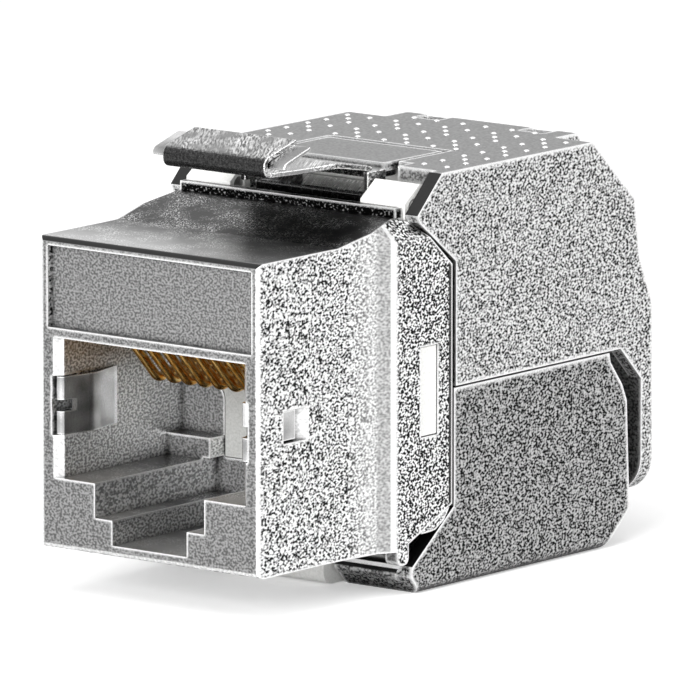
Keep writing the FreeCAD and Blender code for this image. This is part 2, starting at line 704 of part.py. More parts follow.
# ---------------------------------------------------------------- white core
def core_body():
    body = new_body("core_body")
    side = outline(body, "side_outline", "YZ_Plane", [
        ("cavity_front + core_clearance", "housing_floor + core_clearance"),
        ("core_back", "heel_rise + housing_floor"),
        ("core_back", "core_crown"),
        ("rim_back + core_clearance", "core_crown"),
        ("rim_back + core_clearance", "cavity_top - core_clearance"),
        ("cavity_front + core_clearance", "cavity_top - core_clearance"),
    ])
    pad(body, "frame", side, "collar_width - 2 * collar_wall - 2 * core_clearance", both=True)

    lug = outline(body, "lug", "YZ_Plane", [
        ("lug_front", "core_crown - 0.1"),
        ("lug_back", "core_crown - 0.1"),
        ("lug_back", "lug_top - 0.15"),
        ("lug_back - 0.4", "lug_top", "0.15"),
        ("lug_front", "lug_top - 0.9"),
    ])
    pad(body, "lugs", lug, "collar_width - 2 * cap_wall - 0.3", both=True)
    between = rectangle(body, "between_lugs", "YZ_Plane", "lug_front - 0.1", "core_crown",
                        "lug_back - lug_front + 0.2", "lug_top - core_crown + 1")
    pocket(body, "between_lugs_cut", between, "lug_inner", both=True)
    deck = outline(body, "deck", "YZ_Plane", [
        ("lug_back - 0.3", "core_crown - 0.8"),
        ("deck_back", "deck_top - 1.3"),
        ("deck_back", "deck_top"),
        ("deck_step", "deck_top"),
        ("deck_step", "deck_top - deck_fall"),
        ("lug_back - 0.3", "deck_top - deck_fall"),
    ])
    pad(body, "latch_deck", deck, "deck_width", both=True)
    hook = outline(body, "hook", "YZ_Plane", [
        ("cavity_front + 0.2", "housing_floor + 0.4"),
        ("hook_front", "0.3"),
        ("hook_front", "-hook_bottom", "0.7"),
        ("hook_back - 0.9", "-hook_bottom", "0.6"),
        ("hook_back", "-lower_hinge_drop - 0.6", "0.3"),
        ("hook_back", "housing_floor + 1.2"),
    ])
    pad(body, "lower_hook", hook, "hook_width", both=True)

    catch = rectangle(body, "catch", "YZ_Plane", "slot_front + fit_clearance",
                      "slot_bottom + fit_clearance", "slot_length - 2 * fit_clearance",
                      "slot_height - 2 * fit_clearance")
    pad(body, "side_catches", catch, "collar_width - 2 * catch_sink", both=True)

    # The frame seats the contact comb; behind it a window holds the board and the terminal blocks.
    seat = "max(core_window_width; port_width + 2 * comb_seat)"
    comb_seat = rectangle(body, "comb_seat_outline", "XZ_Plane", f"-{seat} / 2",
                          "core_window_bottom", seat, "core_window_height",
                          offset="-(cavity_front)")
    pocket(body, "comb_seat_cut", comb_seat, "comb_back + fit_clearance - cavity_front")
    window = rectangle(body, "window", "XZ_Plane", "-core_window_width / 2", "core_window_bottom",
                       "core_window_width", "core_window_height", offset="-(comb_back)")
    pocket(body, "window_cut", window, "core_back - comb_back + 6")
    bores = circles(body, "bores", "YZ_Plane", [
        ("hinge_depth", "upper_hinge_height"),
        ("hinge_depth", "-lower_hinge_drop"),
    ], "pin_diameter + 2 * pin_clearance")
    pocket(body, "bores_cut", bores, "collar_width", both=True)
    return body


# ---------------------------------------------------------------- contact comb and wires
def wire_place(index):
    """Formula for the place across the jack of contact wire 1 to 8."""
    return f"{index - 4.5} * wire_pitch"


def contact_comb():
    body = new_body("contact_comb")
    face = outline(body, "face", "XZ_Plane", [
        ("-stop_gap / 2 + fit_clearance", "port_bottom + fit_clearance"),
        ("stop_gap / 2 - fit_clearance", "port_bottom + fit_clearance"),
        ("stop_gap / 2 - fit_clearance", "stop_top + fit_clearance", "stop_round"),
        ("port_width / 2 - fit_clearance", "stop_top + fit_clearance"),
        ("port_width / 2 - fit_clearance", "port_top - fit_clearance"),
        ("roof_width / 2 - fit_clearance", "port_top - fit_clearance"),
        ("roof_width / 2 - fit_clearance", "roof_top - fit_clearance"),
        ("-roof_width / 2 + fit_clearance", "roof_top - fit_clearance"),
        ("-roof_width / 2 + fit_clearance", "port_top - fit_clearance"),
        ("-port_width / 2 + fit_clearance", "port_top - fit_clearance"),
        ("-port_width / 2 + fit_clearance", "stop_top + fit_clearance"),
        ("-stop_gap / 2 + fit_clearance", "stop_top + fit_clearance", "stop_round"),
    ], offset="-port_depth")
    pad(body, "plate", face, "comb_back - port_depth", flip=True)
    tongue = rectangle(body, "tongue", "XZ_Plane", "-roof_width / 2 + fit_clearance",
                       "roof_top - fit_clearance - tongue_thickness",
                       "roof_width - 2 * fit_clearance", "tongue_thickness",
                       offset="-(roof_front + 0.1)")
    pad(body, "tongue_plate", tongue, "port_depth - roof_front", flip=True)
    for index in range(1, 9):
        slot = rectangle(body, f"slot_{index}", "XZ_Plane",
                         f"{wire_place(index)} - comb_slot_width / 2", "comb_slot_bottom",
                         "comb_slot_width", "comb_slot_height", offset="-(port_depth - 0.1)")
        pocket(body, f"slot_{index}_cut", slot, "comb_slot_depth + 0.1")
    roots = circles(body, "roots", "XZ_Plane",
                    [(wire_place(index), "wire_height") for index in range(1, 9)],
                    "wire_diameter + 2 * fit_clearance", offset="-(port_depth - 0.1)")
    pocket(body, "roots_cut", roots, "comb_back - port_depth + 0.2")
    return body


def contact_wire(index):
    """One wire: back along the roof, round the front bend, down to the dip and back into its slot."""
    body = new_body(f"contact_{index}")
    spine = new_sketch(body, "spine", "YZ_Plane", wire_place(index))
    polyline(spine, [
        ("comb_back + fit_clearance", "wire_height"),
        ("wire_front", "wire_height", "wire_bend"),
        ("wire_dip", "wire_dip_height", "wire_bend"),
        ("wire_tip", "wire_tip_height"),
    ], False)
    section = circles(body, "section", "XZ_Plane", [(wire_place(index), "wire_height")],
                      "wire_diameter", offset="-(comb_back + fit_clearance)")
    pipe = body.newObject("PartDesign::AdditivePipe", "wire")
    pipe.Profile = section
    pipe.Spine = (spine, [])
    doc.recompute()
    return body


# ---------------------------------------------------------------- board, terminals, wire manager
def circuit_board():
    body = new_body("circuit_board")
    plate = rectangle(body, "plate_outline", "XZ_Plane", "-core_window_width / 2 + 0.1",
                      "core_window_bottom + 0.1", "core_window_width - 0.2",
                      "core_window_height - 0.2", offset="-(comb_back + 2 * fit_clearance)")
    pad(body, "plate", plate, "board_thickness", flip=True)
    return body


def slot_places():
    """Formulas for the four slots' places across a terminal block."""
    return [f"{step} * block_slot_pitch" for step in (-1.5, -0.5, 0.5, 1.5)]


def blade_depth():
    """Formula for the middle of the blades along a terminal block."""
    return "(block_front + block_length / 2)"


def idc_block(label, base, way):
    """A terminal block. base is its solid side's height and way is +1 or -1, towards the slots."""
    body = new_body(label)
    low = base if way > 0 else f"({base}) - block_height"
    face = rectangle(body, "face", "XZ_Plane", "-block_width / 2", low,
                     "block_width", "block_height", offset="-(block_front)")
    pad(body, "block", face, "block_length", flip=True)
    floor = f"{base} + block_slot_floor" if way > 0 else f"{base} - block_height - 0.5"
    for number, place in enumerate(slot_places(), 1):
        slot = rectangle(body, f"slot_{number}", "XZ_Plane", f"{place} - block_slot_width / 2",
                         floor, "block_slot_width", "block_height - block_slot_floor + 0.5",
                         offset="-(block_front - 0.5)")
        pocket(body, f"slot_{number}_cut", slot, "block_length + 1")
        groove = rectangle(body, f"groove_{number}", "XY_Plane",
                           f"{place} - blade_width / 2 - fit_clearance",
                           f"{blade_depth()} - blade_thickness / 2 - fit_clearance",
                           "blade_width + 2 * fit_clearance", "blade_thickness + 2 * fit_clearance",
                           offset=floor)
        pocket(body, f"groove_{number}_cut", groove, "block_height - block_slot_floor + 0.5",
               flip=True)
    return body


def idc_blade(index, place, base, way):
    """A forked blade that stands on its slot's floor, with its slit open towards the slot's mouth."""
    body = new_body(f"idc_blade_{index}")
    sign = "+" if way > 0 else "-"
    foot = f"{base} {sign} (block_slot_floor + 0.02)"
    tip = f"{foot} {sign} blade_height"
    mouth = f"{foot} {sign} (blade_height - 0.5)"
    crotch = f"{foot} {sign} (blade_height - blade_slit_depth)"
    fork = outline(body, "fork", "XZ_Plane", [
        (f"{place} - blade_width / 2", foot),
        (f"{place} + blade_width / 2", foot),
        (f"{place} + blade_width / 2", tip),
        (f"{place} + blade_slit", tip),
        (f"{place} + blade_slit / 2", mouth),
        (f"{place} + blade_slit / 2", crotch),
        (f"{place} - blade_slit / 2", crotch),
        (f"{place} - blade_slit / 2", mouth),
        (f"{place} - blade_slit", tip),
        (f"{place} - blade_width / 2", tip),
    ], offset=f"-({blade_depth()} - blade_thickness / 2)")
    pad(body, "blade", fork, "blade_thickness", flip=True)
    return body


def wire_manager():
    body = new_body("wire_manager")
    plate = rectangle(body, "plate_outline", "XZ_Plane", "-manager_width / 2", "manager_bottom",
                      "manager_width", "manager_height", offset="-manager_front")
    pad(body, "plate", plate, "manager_length", flip=True)
    middle = "manager_bottom + manager_height / 2"
    for hand, left in (("right", "manager_width / 2 - manager_arm"), ("left", "-manager_width / 2")):
        arm = rectangle(body, hand + "_arm_outline", "XZ_Plane", left,
                        f"{middle} - manager_arm_height / 2", "manager_arm", "manager_arm_height",
                        offset="-(core_back + core_clearance)")
        pad(body, hand + "_arm", arm, "manager_front - core_back", flip=True)
    bore = circles(body, "bore", "XZ_Plane", [("0", middle)], "manager_bore",
                   offset="-(manager_front - 0.5)")
    pocket(body, "bore_cut", bore, "manager_length + 1")
    for row, low in (("top", "manager_bottom + manager_height - manager_groove_depth"),
                     ("bottom", "manager_bottom - 0.5")):
        for number, step in enumerate((-1.5, -0.5, 0.5, 1.5), 1):
            groove = rectangle(body, f"{row}_groove_{number}", "XZ_Plane",
                               f"{step} * manager_groove_pitch - manager_groove / 2", low,
                               "manager_groove", "manager_groove_depth + 0.5",
                               offset="-(manager_front - 0.5)")
            pocket(body, f"{row}_groove_{number}_cut", groove, "manager_length + 1")
    return body


def screen_clip():
    """A sprung strap on the lower cap's floor, dished for the cable's braid."""
    body = new_body("screen_clip")
    floor = "-floor_drop + cap_wall - 0.08"
    strap = outline(body, "strap_outline", "XZ_Plane", [
        ("-collar_width / 2 + cap_wall + 0.1", floor),
        ("-collar_width / 2 + cap_wall + 0.1 + clip_foot", floor, "0.3"),
        ("-clip_saddle + 1.0", "parting_height - clip_saddle", "0.5"),
        ("-1.6", "parting_height - cable_diameter / 2 - clip_thickness", "0.9"),
        ("1.6", "parting_height - cable_diameter / 2 - clip_thickness", "0.9"),
        ("clip_saddle - 1.0", "parting_height - clip_saddle", "0.5"),
        ("collar_width / 2 - cap_wall - 0.1 - clip_foot", floor, "0.3"),
        ("collar_width / 2 - cap_wall - 0.1", floor),
        ("collar_width / 2 - cap_wall - 0.1", f"{floor} + clip_thickness"),
        ("collar_width / 2 - cap_wall - clip_foot + 0.05", f"{floor} + clip_thickness", "0.5"),
        ("clip_saddle - 0.85", "parting_height - clip_saddle + clip_thickness", "0.7"),
        ("1.5", "parting_height - cable_diameter / 2", "0.7"),
        ("-1.5", "parting_height - cable_diameter / 2", "0.7"),
        ("-clip_saddle + 0.85", "parting_height - clip_saddle + clip_thickness", "0.7"),
        ("-collar_width / 2 + cap_wall + clip_foot - 0.05", f"{floor} + clip_thickness", "0.5"),
        ("-collar_width / 2 + cap_wall + 0.1", f"{floor} + clip_thickness"),
    ], offset="-(jack_depth - clip_front)")
    pad(body, "strap", strap, "clip_length", flip=True)
    return body


# ---------------------------------------------------------------- sheet-metal springs
def shield_spring(label, sign):
    """A leaf along the port's jamb, bulged inwards, with two fingers hooked into the front edge."""
    body = new_body(label)
    wall = "port_width / 2"
    leaf = outline(body, "leaf_outline", "XY_Plane", [
        (f"{sign}({wall} - 0.05)", "leaf_length"),
        (f"{sign}({wall} - leaf_bulge - 0.05)", "leaf_length / 2", "2.0"),
        (f"{sign}({wall} - 0.05)", "0.15", "0.25"),
        (f"{sign}({wall} + jamb_sink - 0.05)", "0.15", "0.25"),
        (f"{sign}({wall} + jamb_sink - 0.05)", "jamb_depth - 0.1"),
        (f"{sign}({wall} + jamb_sink - 0.05 - leaf_thickness)", "jamb_depth - 0.1"),
        (f"{sign}({wall} + jamb_sink - 0.05 - leaf_thickness)", "0.15 + leaf_thickness", "0.05"),
        (f"{sign}({wall} - 0.05 + leaf_thickness * 0.5)", "0.15 + leaf_thickness", "0.05"),
        (f"{sign}({wall} - leaf_bulge - 0.05 + leaf_thickness)", "leaf_length / 2", "1.8"),
        (f"{sign}({wall} - 0.05)", "leaf_length - 0.4"),
    ], offset="jamb_bottom + 0.05")
    pad(body, "leaf", leaf, "jamb_height - 0.1")
    gap = outline(body, "finger_gap", "XZ_Plane", [
        (f"{sign}({wall} - 0.2)", "jamb_bottom + 0.1 + finger_height"),
        (f"{sign}({wall} + jamb_sink + 0.5)", "jamb_bottom + 0.1 + finger_height"),
        (f"{sign}({wall} + jamb_sink + 0.5)", "jamb_bottom + jamb_height - 0.1 - finger_height"),
        (f"{sign}({wall} - 0.2)", "jamb_bottom + jamb_height - 0.1 - finger_height"),
    ])
    pocket(body, "finger_gap_cut", gap, "0.6 + jamb_depth")
    bend = "window_front + window_length - 2 * tab_clearance"
    tab = outline(body, "tab_outline", "XY_Plane", [
        (f"{sign}({wall} - leaf_bulge * 0.7)", bend),
        (f"{sign}({wall} + tab_reach)", bend),
        (f"{sign}({wall} + tab_reach)", "window_front + tab_clearance"),
        (f"{sign}({wall} + tab_reach - leaf_thickness)", "window_front + tab_clearance"),
        (f"{sign}({wall} + tab_reach - leaf_thickness)", f"{bend} - leaf_thickness"),
        (f"{sign}({wall} - leaf_bulge * 0.7)", f"{bend} - leaf_thickness"),
    ], offset="window_bottom + tab_clearance")
    pad(body, "tab", tab, "window_height - 2 * tab_clearance")
    return body


def latch_plate():
    """The flat plate on the deck, over the latch's root."""
    body = new_body("latch_plate")
    flat = rectangle(body, "plate_outline", "XY_Plane", "-plate_width / 2", "plate_front",
                     "plate_width", "deck_back - plate_front", offset="deck_top")
    pad(body, "plate", flat, "plate_thickness")
    return body


def latch_spring():
    """A strip of spring steel: its root under the plate, arched forward, folded back as a lip."""
    body = new_body("latch_spring")
    root_height = "(deck_top - latch_root_gap)"
    strip = outline(body, "strip_outline", "YZ_Plane", [
        ("latch_root", root_height),
        ("plate_front", root_height, "1.5"),
        ("latch_rise", "latch_rise_top", "4.0"),
        ("latch_arch", "latch_arch_height", "6.0"),
        ("latch_tip + latch_thickness", "latch_tip_height", "0.12"),
        ("latch_tip + latch_thickness", "latch_tip_height + latch_fold - 2 * latch_thickness", "0.12"),
        ("latch_lip_back", "latch_lip_height - latch_thickness"),
        ("latch_lip_back - 0.1", "latch_lip_height"),
        ("latch_tip", "latch_tip_height + latch_fold - latch_thickness", "0.3"),
        ("latch_tip", "latch_tip_height - latch_thickness", "0.35"),
        ("latch_arch", "latch_arch_height - latch_thickness", "6.0"),
        ("latch_rise - 0.1", "latch_rise_top - latch_thickness", "4.0"),
        ("plate_front", f"{root_height} - latch_thickness", "1.2"),
        ("latch_root", f"{root_height} - latch_thickness"),
    ])
    pad(body, "strip", strip, "latch_width", both=True)
    leg = outline(body, "leg_outline", "YZ_Plane", [
        ("latch_leg_front", "latch_rise_top - latch_thickness"),
        ("latch_leg_front", "latch_leg_bottom", "0.2"),
        ("latch_leg_front + latch_leg_length", "latch_leg_bottom", "0.2"),
        ("latch_leg_front + latch_leg_length", f"{root_height}"),
    ])
    pad(body, "legs", leg, "latch_width", both=True)
    between = rectangle(body, "between_legs", "YZ_Plane", "latch_leg_front - 0.1",
                        "latch_leg_bottom - 0.1", "latch_leg_length + 0.2",
                        f"{root_height} - latch_thickness - latch_leg_bottom")
    pocket(body, "between_legs_cut", between, "latch_width - 2 * latch_thickness", both=True)
    for hand, sign in (("right", ""), ("left", "-")):
        root = outline(body, hand + "_root_trim", "XY_Plane", [
            (f"{sign}(latch_width / 2 + 1)", "latch_leg_front + latch_leg_length"),
            (f"{sign}(latch_root_width / 2)", "latch_leg_front + latch_leg_length"),
            (f"{sign}(latch_root_width / 2)", "latch_root + 1"),
            (f"{sign}(latch_width / 2 + 1)", "latch_root + 1"),
        ], offset="latch_leg_bottom")
        pocket(body, hand + "_root_trim_cut", root, "3", flip=True)
        lip = outline(body, hand + "_lip_trim", "XY_Plane", [
            (f"{sign}(latch_lip_width / 2)", "latch_tip - 1"),
            (f"{sign}(latch_width / 2 + 1)", "latch_tip - 1"),
            (f"{sign}(latch_width / 2 + 1)", "latch_lip_back + 0.6"),
            (f"{sign}(latch_lip_width / 2)", "latch_lip_back + 0.6"),
        ], offset="latch_tip_height + 0.05")
        pocket(body, hand + "_lip_trim_cut", lip, "3", flip=True)

    # A wider leaf under the lip stands out on both sides.
    under_lip = "latch_tip_height + latch_fold - 2 * latch_thickness"
    wing = outline(body, "wing_outline", "YZ_Plane", [
        ("latch_tip + latch_thickness", f"{under_lip} - wing_thickness"),
        ("latch_lip_back - latch_thickness", "latch_lip_height - latch_thickness - wing_thickness - 0.04"),
        ("latch_lip_back - latch_thickness", "latch_lip_height - latch_thickness"),
        ("latch_tip + latch_thickness", f"{under_lip} + 0.06"),
    ])
    pad(body, "wings", wing, "wing_width", both=True)
    return body


# ---------------------------------------------------------------- the whole jack
bodies = [
    front_housing(),
    upper_cap(),
    lower_cap(),
    upper_hinge_pin("right_upper_hinge_pin", False),
    upper_hinge_pin("left_upper_hinge_pin", True),
    lower_hinge_pin(),
    core_body(),
    contact_comb(),
]
bodies += [contact_wire(index) for index in range(1, 9)]
bodies += [circuit_board()]
UPPER_BASE = "core_window_bottom + core_window_height / 2 + 0.2"
LOWER_BASE = "core_window_bottom + core_window_height / 2 - 0.2"
bodies += [
    idc_block("upper_idc_block", UPPER_BASE, 1),
    idc_block("lower_idc_block", LOWER_BASE, -1),
]
for number, place in enumerate(slot_places(), 1):
    bodies.append(idc_blade(number, place, UPPER_BASE, 1))
    bodies.append(idc_blade(number + 4, place, LOWER_BASE, -1))
bodies += [
    wire_manager(),
    screen_clip(),
    shield_spring("right_shield_spring", ""),
    shield_spring("left_shield_spring", "-"),
    latch_plate(),
    latch_spring(),
]
doc.recompute()

for item in doc.Objects:
    if "Invalid" in item.State or "Error" in item.State:
        raise RuntimeError(f"{item.Label}: {item.State}")
for body in bodies:
    if body.Shape.isNull() or not body.Shape.isValid():
        raise RuntimeError(f"{body.Label}: no valid shape")
    if len(body.Shape.Solids) != 1:
        raise RuntimeError(f"{body.Label}: {len(body.Shape.Solids)} solids")
for body in bodies:
    body.Shape.exportStep(f"parts/{body.Label}.step")
print(len(bodies), "nodes")
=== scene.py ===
"""A shielded keystone jack with hinged cable caps, dressed for its looks round the fixed CAD frame.

Lengths are in metres. X runs across the jack, Y from the plug face to the cable end, Z up.
"""

import json
import math

import bmesh
import bpy
import numpy as np
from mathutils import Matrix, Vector


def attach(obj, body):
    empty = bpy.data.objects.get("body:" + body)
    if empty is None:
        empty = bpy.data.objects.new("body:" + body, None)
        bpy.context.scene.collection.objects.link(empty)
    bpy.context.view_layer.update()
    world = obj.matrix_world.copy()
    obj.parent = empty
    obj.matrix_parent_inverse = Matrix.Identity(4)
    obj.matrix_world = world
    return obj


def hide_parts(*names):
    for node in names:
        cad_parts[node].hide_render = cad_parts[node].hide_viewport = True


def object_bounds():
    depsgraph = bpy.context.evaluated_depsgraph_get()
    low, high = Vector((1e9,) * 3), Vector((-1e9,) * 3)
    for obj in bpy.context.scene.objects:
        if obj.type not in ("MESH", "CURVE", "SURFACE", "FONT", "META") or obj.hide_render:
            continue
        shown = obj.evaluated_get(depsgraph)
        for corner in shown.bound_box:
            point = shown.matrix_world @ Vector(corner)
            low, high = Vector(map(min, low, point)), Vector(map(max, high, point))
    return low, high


MM = 0.001

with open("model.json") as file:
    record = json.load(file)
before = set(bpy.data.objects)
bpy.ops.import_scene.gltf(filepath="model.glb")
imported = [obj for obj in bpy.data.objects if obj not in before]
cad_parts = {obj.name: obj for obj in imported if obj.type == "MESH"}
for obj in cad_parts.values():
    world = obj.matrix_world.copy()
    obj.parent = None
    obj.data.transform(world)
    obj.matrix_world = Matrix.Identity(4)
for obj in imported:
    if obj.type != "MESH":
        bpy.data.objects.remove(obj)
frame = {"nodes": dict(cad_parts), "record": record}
cad_low, cad_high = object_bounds()
centre = (cad_low + cad_high) / 2


# ---------------------------------------------------------------- colours and nodes

def linear(hex_colour, alpha=1.0):
    """An sRGB hex colour as linear RGBA."""
    channels = [int(hex_colour[i : i + 2], 16) / 255 for i in (1, 3, 5)]
    return tuple(c / 12.92 if c <= 0.04045 else ((c + 0.055) / 1.055) ** 2.4 for c in channels) + (alpha,)


def add_node(tree, kind, links=None, **settings):
    """Adds a node; settings are its own properties or its sockets, and links join sockets to outputs.

    A setting named iN is for socket number N, where several sockets have one name.
    """
    node = tree.nodes.new(kind)
    sockets = {}
    for name, value in settings.items():
        if hasattr(node, name):
            setattr(node, name, value)
        else:
            sockets[name.replace("_", " ")] = value
    for name, value in sockets.items():
        index = int(name[1:]) if name[0] == "i" and name[1:].isdigit() else name
        node.inputs[index].default_value = value
    for name, output in (links or {}).items():
        tree.links.new(output, node.inputs[name])
    return node


def new_material(name):
    """A material with one Principled shader, and its tree and object coordinates."""
    material = bpy.data.materials.new(name)
    material.use_nodes = True
    tree = material.node_tree
    shader = tree.nodes["Principled BSDF"]
    place = add_node(tree, "ShaderNodeTexCoord").outputs
    return material, tree, shader, place


def noise(tree, place, size, detail=2.0, rough=0.55):
    """Noise whose blobs are about size metres across."""
    return add_node(tree, "ShaderNodeTexNoise", {"Vector": place["Object"]}, Scale=1 / size, Detail=detail,
                    Roughness=rough).outputs["Fac"]


def spread(tree, source, low, high, to_low=0.0, to_high=1.0):
    """Stretches low..high of a value to to_low..to_high, held at its ends."""
    node = add_node(tree, "ShaderNodeMapRange", {"Value": source}, i1=low, i2=high, i3=to_low, i4=to_high)
    return node.outputs["Result"]


def blend_colour(tree, factor, dark, light):
    """Mixes two colours, or colour outputs, by a factor."""
    node = add_node(tree, "ShaderNodeMix", {"Factor": factor}, data_type="RGBA")
    for index, colour in ((6, dark), (7, light)):
        if isinstance(colour, str):
            node.inputs[index].default_value = linear(colour)
        else:
            tree.links.new(colour, node.inputs[index])
    return node.outputs[2]


def add_bump(tree, shader, height, distance, strength=1.0):
    """Bump of a real height in metres."""
    bump = add_node(tree, "ShaderNodeBump", {"Height": height}, Strength=strength, Distance=distance)
    tree.links.new(bump.outputs["Normal"], shader.inputs["Normal"])


def stretched(tree, place, scale, turn=0.0):
    """Object coordinates turned about Z by some degrees, and then scaled.

    One Mapping node scales before it turns, so it takes two.
    """
    angle = (0.0, 0.0, math.radians(turn))
    turned = add_node(tree, "ShaderNodeMapping", {"Vector": place["Object"]}, Rotation=angle)
    scaled = add_node(tree, "ShaderNodeMapping", {"Vector": turned.outputs["Vector"]}, Scale=scale)
    return {"Object": scaled.outputs["Vector"]}


def part_of(tree, vector, axis):
    """X, Y or Z of a vector output."""
    return add_node(tree, "ShaderNodeSeparateXYZ", {"Vector": vector}).outputs[axis]


# ---------------------------------------------------------------- finishes

# The blasted grain is drawn coarser than the real one, which would be too fine to show, and a little
# longer across and along the jack than up.
GRAIN = 0.115 * MM
GRAIN_STRETCH = (0.85, 0.7, 1.0)
EDGE = 0.16 * MM
THIN_EDGE = 0.08 * MM
SHADE_SAMPLES = 6
POLISHED_ROUGHNESS = 0.33
BROW_PAINTED_REFLECTION = "#3a3a3a"


def facing(axis, way, low=0.7, high=0.9):
    """A mask that is 1 on faces that look along one axis of the jack and 0 on the others."""
    def mask(tree, place):
        return spread(tree, part_of(tree, place["Normal"], axis), way * low, way * high)
    return mask


def along(axis, low, high):
    """A mask that goes from 0 to 1 between two places along X, Y or Z."""
    def mask(tree, place):
        return spread(tree, part_of(tree, place["Object"], axis), low, high)
    return mask


def both(*masks):
    """A mask that is 1 only where all the given masks are."""
    def mask(tree, place):
        product = masks[0](tree, place)
        for other in masks[1:]:
            step = add_node(tree, "ShaderNodeMath", operation="MULTIPLY")
            tree.links.new(product, step.inputs[0])
            tree.links.new(other(tree, place), step.inputs[1])
            product = step.outputs[0]
        return product
    return mask


def painted_edge_highlights(tree, reach=EDGE):
    """1 along outer edges, for a painted highlight where their rounding would catch the light, and 0
    elsewhere.
    """
    within = add_node(tree, "ShaderNodeAmbientOcclusion", samples=SHADE_SAMPLES, inside=True,
                      only_local=True, Distance=reach)
    return spread(tree, within.outputs["AO"], 0.90, 0.68)


def deep_corners(tree, reach, depth):
    """Shade in seams, joints and corners: 1 in the open, and down to depth where it is closed in."""
    open_air = add_node(tree, "ShaderNodeAmbientOcclusion", samples=SHADE_SAMPLES, Distance=reach)
    return spread(tree, open_air.outputs["AO"], 0.25, 0.85, depth, 1.0)


def shade(tree, colour, level):
    """A colour times a level."""
    node = add_node(tree, "ShaderNodeMix", data_type="RGBA", blend_type="MULTIPLY", Factor=1.0)
    tree.links.new(colour, node.inputs[6])
    tree.links.new(level, node.inputs[7])
    return node.outputs[2]


def satin_nickel_on_zinc(name, tones, polish_and_painted_reflection=None, edge=EDGE):
    """Zinc casting under satin nickel: a blasted grain in salt and pepper, drawn far darker and brighter
    than nickel is: painted glints and dark reflections of the grain.

    tones is a list of (mask, dark, light, share of dark, softness), the first for every face; the masked
    ones paint light and shade by place and by the way a face looks.
    polish_and_painted_reflection gives a face rubbed on a wheel: its mask, a painted reflection as its tone
    at two places, and painted glints as its bright specks.
    """
    material, tree, shader, place = new_material(name)
    grain = noise(tree, stretched(tree, place, GRAIN_STRETCH), GRAIN, 0.5, 0.5)
    colour = None
    for mask, dark, light, share, softness in tones:
        middle = 0.4 + share * 0.2
        tone = blend_colour(tree, spread(tree, grain, middle - softness, middle + softness), dark, light)
        colour = tone if mask is None else blend_colour(tree, mask(tree, place), colour, tone)
    rough = spread(tree, grain, 0.3, 0.7, 0.34, 0.46)
    if polish_and_painted_reflection:
        mask, run, near, far, painted_glint_tone = polish_and_painted_reflection
        face = mask(tree, place)
        # Painted glints in small specks over larger patches, on a painted reflection that goes from near to
        # far along the run.
        specks = spread(tree, noise(tree, place, 0.09 * MM, 2.0, 0.7), 0.53, 0.62)
        patch = spread(tree, noise(tree, place, 1.7 * MM, 4.0, 0.65), 0.40, 0.60)
        bright = add_node(tree, "ShaderNodeMath", operation="MULTIPLY")
        tree.links.new(specks, bright.inputs[0])
        tree.links.new(patch, bright.inputs[1])
        ground = blend_colour(tree, run(tree, place), near, far)
        colour = blend_colour(tree, face, colour, blend_colour(tree, bright.outputs[0], ground, painted_glint_tone))
        smooth = add_node(tree, "ShaderNodeMix", {"Factor": face, "A": rough}, data_type="FLOAT",
                          B=POLISHED_ROUGHNESS)
        rough = smooth.outputs["Result"]
    colour = shade(tree, colour, deep_corners(tree, 0.6 * MM, 0.25))
    # A painted highlight along the outer edges.
    colour = blend_colour(tree, painted_edge_highlights(tree, edge), colour, "#fafafa")
    # A face that slants both forwards and up, such as the upper cap's brow, is one plain dark tone: a
    # painted dark reflection.
    brow = both(facing(1, -1, 0.2, 0.4), facing(2, 1, 0.2, 0.4))(tree, place)
    colour = blend_colour(tree, brow, colour, BROW_PAINTED_REFLECTION)
    tree.links.new(colour, shader.inputs["Base Color"])
    shader.inputs["Metallic"].default_value = 1.0
    tree.links.new(rough, shader.inputs["Roughness"])
    add_bump(tree, shader, grain, 0.006 * MM, 0.5)
    return material


def polished_spring_steel():
    """Cold rolled stainless strip: dark and bright by turns, with strokes brushed 31 degrees aslant whose
    dark and bright streaks are painted highlights, and painted shade on faces towards the plug.
    """
    material, tree, shader, place = new_material("polished_spring_steel")
    lines = noise(tree, stretched(tree, place, (1.0, 0.04, 1.0), turn=-31), 0.1 * MM, 2.0, 0.5)
    slow = noise(tree, place, 1.4 * MM, 2.0)
    streak = spread(tree, lines, 0.38, 0.62)
    # The brushed strokes as streaks from near black to white: painted highlights along the brushing.
    top = blend_colour(tree, streak, "#303030", "#ffffff")
    softer = blend_colour(tree, spread(tree, slow, 0.35, 0.65), top, "#8c8c8c")
    # Faces towards the plug in one dark tone: painted shade.
    front = blend_colour(tree, streak, "#2c2c2c", "#4a4a4a")
    colour = blend_colour(tree, facing(1, -1, 0.5, 0.8)(tree, place), softer, front)
    # A painted highlight along the outer edges.
    colour = blend_colour(tree, painted_edge_highlights(tree, THIN_EDGE), colour, "#f8f8f8")
    tree.links.new(colour, shader.inputs["Base Color"])
    shader.inputs["Metallic"].default_value = 1.0
    tree.links.new(spread(tree, lines, 0.3, 0.7, 0.16, 0.3), shader.inputs["Roughness"])
    add_bump(tree, shader, lines, 0.004 * MM, 0.5)
    return material


